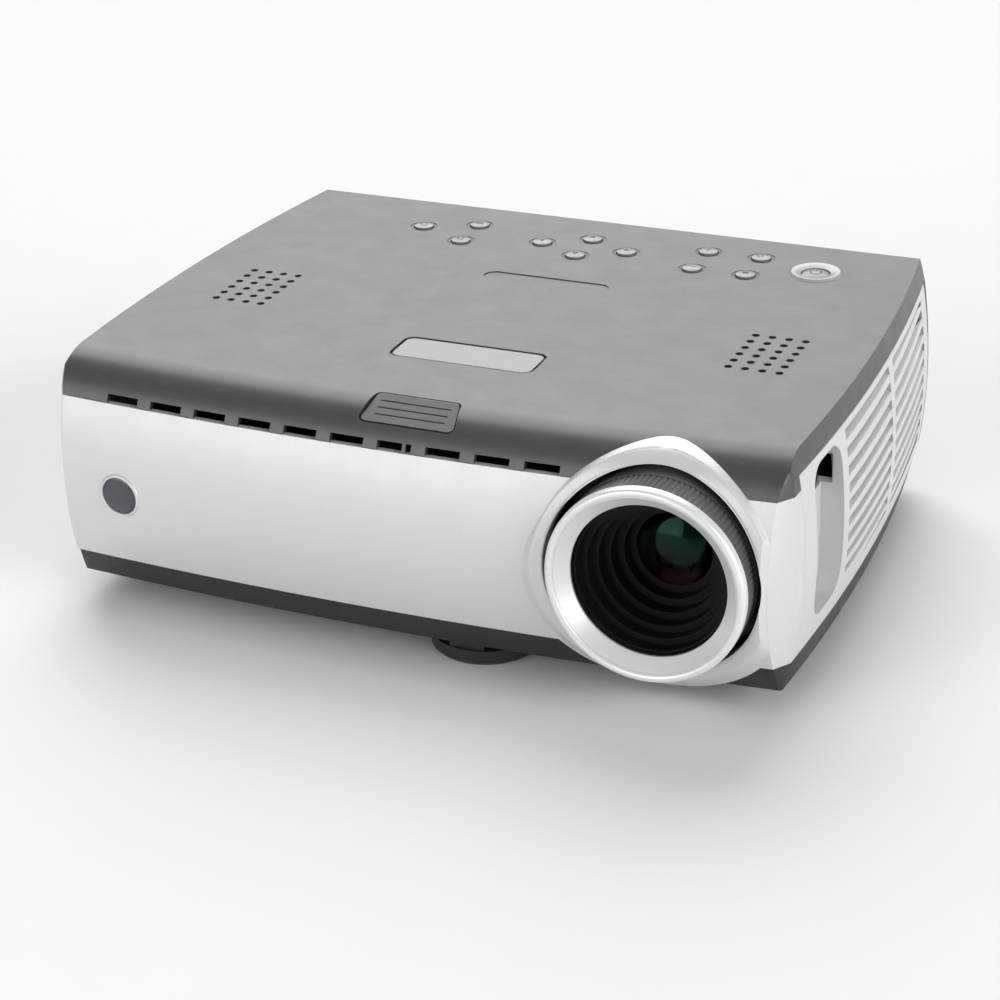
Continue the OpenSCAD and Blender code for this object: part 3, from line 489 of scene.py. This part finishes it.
def collar_section(angle):
    """Section of the collar's skin: bore edge, raised face, then a fall that is crisp only above."""
    ca, sa = math.cos(angle), math.sin(angle)
    soft = max(0.0, 1.0 - max(0.0, sa - SOFT_SINE) / SOFT_SPAN)
    fall = CRISP_FALL + SOFT_FALL * soft * soft * (3 - 2 * soft)

    def at(rho, out):
        x, z = LENS_X + rho * ca, LENS_Z + rho * sa
        return (x, front_surface(x, z, out), z)

    front = at(COLLAR_FACE_IN, COLLAR_RAISE)
    points = []
    for off, depth in BORE_EDGE:
        rho = COLLAR_BORE + off
        points.append((LENS_X + rho * ca, front[1] + depth, LENS_Z + rho * sa))
    points.append(front)
    for k in range(1, FACE_STEPS + 1):
        rho = COLLAR_FACE_IN + (COLLAR_FACE_OUT - COLLAR_FACE_IN) * k / FACE_STEPS
        points.append(at(rho, COLLAR_RAISE))
    for k in range(1, FALL_STEPS + 1):
        f = k / FALL_STEPS
        height = 0.5 + 0.5 * math.cos(math.pi * f)
        rho = COLLAR_FACE_OUT + (EDGE_ROUND + fall) * f
        points.append(at(rho, COLLAR_RAISE * height - EDGE_SINK * f))
    last = points[-1]
    points.append((last[0], last[1] + SKIRT_DEPTH, last[2]))
    return points


verts, faces = swept_ring(collar_section, COLLAR_AROUND)
new_piece("lens_collar_skin", verts, faces, M["silver_shell"], angle=60.0)

# ---------------------------------------------------------------- dust mesh behind the louvres

SIDE_SWEEP_R, SIDE_SWEEP_Y, FLAT_HALF_W = 940, -30.0, 135.8
# Side, and span along Y, of the mesh behind each louvre field
FRONT_FIELD, REAR_FIELD = (-37.0, 26.8), (29.4, 93.6)
MESH_FIELDS = {
    "dust_mesh_right_front": (1, *FRONT_FIELD),
    "dust_mesh_right_rear": (1, *REAR_FIELD),
    "dust_mesh_left_front": (-1, *FRONT_FIELD),
    "dust_mesh_left_rear": (-1, *REAR_FIELD),
}
MESH_LOW_Z, MESH_HIGH_Z = 25.2, 85.4
MESH_INSET, MESH_THICK, MESH_CELLS = 4.9, 0.5, 16


def side_surface(y, z, inset):
    """X of the right side's surface, moved inwards by inset."""
    reach = SIDE_SWEEP_R - FLAT_HALF_W + side_w(z) - inset
    return FLAT_HALF_W - SIDE_SWEEP_R + math.sqrt(reach * reach - (y - SIDE_SWEEP_Y) ** 2)


def curved_sheet(side, y0, y1, z0, z1, n):
    """A closed sheet of n by n cells that follows the curve of the side."""
    verts, faces = [], []
    for inset in (MESH_INSET, MESH_INSET + MESH_THICK):
        for i in range(n + 1):
            y = y0 + (y1 - y0) * i / n
            for k in range(n + 1):
                z = z0 + (z1 - z0) * k / n
                verts.append((side * side_surface(y, z, inset), y, z))
    row, layer = n + 1, (n + 1) ** 2
    for i in range(n):
        for k in range(n):
            a = i * row + k
            faces.append((a, a + 1, a + row + 1, a + row))
            faces.append((layer + a, layer + a + row, layer + a + row + 1, layer + a + 1))
    rim = [i * row for i in range(n + 1)] + [n * row + k for k in range(1, n + 1)]
    rim += [i * row + n for i in range(n - 1, -1, -1)] + list(range(n - 1, 0, -1))
    for a, b in zip(rim, rim[1:] + rim[:1]):
        faces.append((a, b, layer + b, layer + a))
    return verts, faces


for name, (side, y0, y1) in MESH_FIELDS.items():
    verts, faces = curved_sheet(side, y0, y1, MESH_LOW_Z, MESH_HIGH_Z, MESH_CELLS)
    new_piece(name, verts, faces, M["dust_mesh"])

# ---------------------------------------------------------------- receiver window

IR_X, IR_Z = -108.4, 49.2
IR_RIM_AROUND, IR_WINDOW_AROUND = 96, 64
# Radius, and height above the front, of the points of the rim's section
IR_RIM = (
    (7.05, -1.2), (7.05, 0.35), (7.2, 0.62), (7.5, 0.74),
    (7.85, 0.62), (8.15, 0.3), (8.35, -0.05), (8.4, -0.6),
)


def ir_at(radius, angle, out):
    """A point round the receiver, at a height above the front."""
    x, z = IR_X + radius * math.cos(angle), IR_Z + radius * math.sin(angle)
    return (x, front_surface(x, z) - out, z)


verts, faces = swept_ring(lambda a: [ir_at(r, a, out) for r, out in IR_RIM], IR_RIM_AROUND)
new_piece("receiver_rim", verts, faces, M["silver_shell"], angle=50.0)


def dome(rings, around, place):
    """A closed disc from rings of points, each at place(radius, angle, number of the ring)."""
    verts = [place(0.0, 0.0, 0)]
    for k, r in enumerate(rings):
        verts.extend(place(r, 2 * math.pi * i / around, k + 1) for i in range(around))
    faces = [(0, 1 + i, 1 + (i + 1) % around) for i in range(around)]
    for k in range(len(rings) - 1):
        a, b = 1 + k * around, 1 + (k + 1) * around
        faces += [(a + i, b + i, b + (i + 1) % around, a + (i + 1) % around) for i in range(around)]
    last = 1 + (len(rings) - 1) * around
    faces.append(tuple(last + i for i in range(around - 1, -1, -1)))
    return verts, faces


# Radii of the window's rings, and the heights of its middle and of each ring; the last goes to the back
IR_RINGS = [1.5, 3.0, 4.5, 5.8, 6.5, 6.78, 6.86, 6.86]
IR_OUT = [0.42, 0.40, 0.36, 0.28, 0.18, 0.10, -0.02, -0.2, -3.2]
verts, faces = dome(IR_RINGS, IR_WINDOW_AROUND, lambda r, a, k: ir_at(r, a, IR_OUT[k]))
ir_lens = new_piece("receiver_window", verts, faces, M["ir_plastic"], angle=50.0)
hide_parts("ir_window")

# ---------------------------------------------------------------- key symbols


def arc_outline(radius, half_width, start, stop, steps):
    """Outline of a stroke along an arc."""
    outer = [(start + (stop - start) * i / steps, radius + half_width) for i in range(steps + 1)]
    inner = [(start + (stop - start) * i / steps, radius - half_width) for i in range(steps, -1, -1)]
    return [(r * math.cos(a), r * math.sin(a)) for a, r in outer + inner]


def bar(x0, y0, x1, y1):
    """Outline of a rectangle."""
    return [(x0, y0), (x1, y0), (x1, y1), (x0, y1)]


def turned(outline, angle):
    """An outline turned about the key's middle."""
    c, s = math.cos(angle), math.sin(angle)
    return [(c * u - s * v, s * u + c * v) for u, v in outline]


ARROW = [(0.0, 1.55), (-1.25, -0.75), (1.25, -0.75)]
LINE = bar(-1.5, -0.22, 1.5, 0.22)
QUARTER = math.pi / 2
SYMBOLS = {
    "arrow_rear_key": [ARROW],
    "arrow_front_key": [turned(ARROW, 2 * QUARTER)],
    "arrow_left_key": [turned(ARROW, QUARTER)],
    "arrow_right_key": [turned(ARROW, -QUARTER)],
    "left_group_outer_key": [arc_outline(1.45, 0.22, 0.0, 4 * QUARTER - 0.02, 28)],
    "left_group_rear_key": [
        bar(-1.6, 0.7, 1.6, 1.15),
        bar(-1.6, -0.22, 1.6, 0.22),
        bar(-1.6, -1.15, 1.6, -0.7),
    ],
    "left_group_front_key": [
        bar(-1.3, -1.3, 1.3, -0.9),
        bar(-1.3, 0.9, 1.3, 1.3),
        bar(-1.3, -0.9, -0.9, 0.9),
        bar(0.9, -0.9, 1.3, 0.9),
    ],
    "right_group_rear_inner_key": [
        LINE,
        bar(-0.22, 0.22, 0.22, 1.5),
        bar(-0.22, -1.5, 0.22, -0.22),
    ],
    "right_group_front_inner_key": [LINE],
    "right_group_rear_outer_key": [
        arc_outline(1.45, 0.22, QUARTER, 3 * QUARTER, 16),
        bar(0.25, -1.2, 0.7, 1.2),
    ],
    "right_group_front_outer_key": [turned(LINE, QUARTER / 2 * k) for k in range(4)],
    "power_key": [
        arc_outline(2.15, 0.26, QUARTER + 0.55, 5 * QUARTER - 0.55, 26),
        bar(-0.26, 0.9, 0.26, 2.9),
    ],
}
SYMBOL_BASE, SYMBOL_TOP, POINT_STEP = -0.15, 0.05, 0.5
DOME_R = 14.0


def subdivided(outline):
    """An outline with points close enough together to follow the key's dome."""
    out = []
    for (u0, v0), (u1, v1) in zip(outline, outline[1:] + outline[:1]):
        n = max(1, int(math.hypot(u1 - u0, v1 - v0) / POINT_STEP))
        out += [(u0 + (u1 - u0) * i / n, v0 + (v1 - v0) * i / n) for i in range(n)]
    return out


for key, outlines in SYMBOLS.items():
    lo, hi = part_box(key)
    cx, cy, top = (lo.x + hi.x) / 2 / MM, (lo.y + hi.y) / 2 / MM, hi.z / MM

    def on_dome(u, v, h, cx=cx, cy=cy, top=top):
        return (cx + u, cy + v, top - DOME_R + math.sqrt(DOME_R ** 2 - u * u - v * v) + h)

    plates = [prism(subdivided(o), SYMBOL_BASE, SYMBOL_TOP, on_dome) for o in outlines]
    verts, faces = join_meshes(plates)
    new_piece(key + "_symbol", verts, faces, M["symbol_ink"], body=key + "_body", smooth=False)

# ---------------------------------------------------------------- stage


def pale_table(name):
    """Pale, dull table top with a faint change in tone."""
    t = Tree(name)
    t.put(Specular_IOR_Level=0.15)
    t.colour(t.mix(t.noise(3.0), (0.80, 0.802, 0.805, 1), (0.82, 0.822, 0.824, 1)))
    t.rough(t.ramp(t.noise(40.0), 0.3, 0.7, 0.55, 0.65))
    return t.mat


def studio_floor(half_size):
    """A flat floor at the height that the projector stands on."""
    mesh = bpy.data.meshes.new("studio_floor")
    bm = bmesh.new()
    bmesh.ops.create_grid(bm, x_segments=2, y_segments=2, size=half_size)
    bm.to_mesh(mesh)
    bm.free()
    mesh.materials.append(pale_table("studio_floor"))
    o = bpy.data.objects.new("studio_floor", mesh)
    bpy.context.scene.collection.objects.link(o)
    return o


floor = studio_floor(60.0)


def soft_sun(name, direction, strength, spread):
    """A wide, soft, even light that comes from a direction."""
    data = bpy.data.lights.new(name, "SUN")
    data.energy = strength
    data.angle = math.radians(spread)
    o = bpy.data.objects.new(name, data)
    bpy.context.scene.collection.objects.link(o)
    o.rotation_euler = (-Vector(direction)).to_track_quat("-Z", "Y").to_euler()


soft_sun("back_light", (-0.34, 0.72, 0.80), 2.10, 55.0)
soft_sun("front_light", (-0.50, -1.0, 0.24), 1.46, 50.0)
soft_sun("side_light", (1.0, -0.20, 0.25), 2.60, 50.0)

SKY_COLOUR, SKY_STRENGTH = (0.97, 0.985, 1.0, 1), 0.36
world = bpy.data.worlds.new("studio")
bpy.context.scene.world = world
world.use_nodes = True
background = world.node_tree.nodes["Background"]
background.inputs["Color"].default_value = SKY_COLOUR
background.inputs["Strength"].default_value = SKY_STRENGTH
bpy.context.scene.view_settings.view_transform = "Standard"
bpy.context.scene.view_settings.look = "None"

# ---------------------------------------------------------------- camera

AZ, EL, ROLL = math.radians(23.4), math.radians(25.0), math.radians(-1.41)
DIST = 1.030
TARGET = Vector((2.2, -15.8, 28.0)) * MM
SENSOR_W, FOCAL_RATIO = 36.0, 2.782
cam_data = bpy.data.cameras.new("photo_camera")
cam = bpy.data.objects.new("photo_camera", cam_data)
bpy.context.scene.collection.objects.link(cam)
bpy.context.scene.camera = cam
cam_data.sensor_width = SENSOR_W
cam_data.lens = SENSOR_W * FOCAL_RATIO
cam_data.clip_start, cam_data.clip_end = 0.05, 50.0
back = Vector((math.sin(AZ) * math.cos(EL), -math.cos(AZ) * math.cos(EL), math.sin(EL)))
cam.location = TARGET + back * DIST
cam.rotation_mode = "QUATERNION"
roll = Matrix.Rotation(ROLL, 3, "Z").to_quaternion()
cam.rotation_quaternion = (-back).to_track_quat("-Z", "Y") @ roll

bpy.context.view_layer.update()
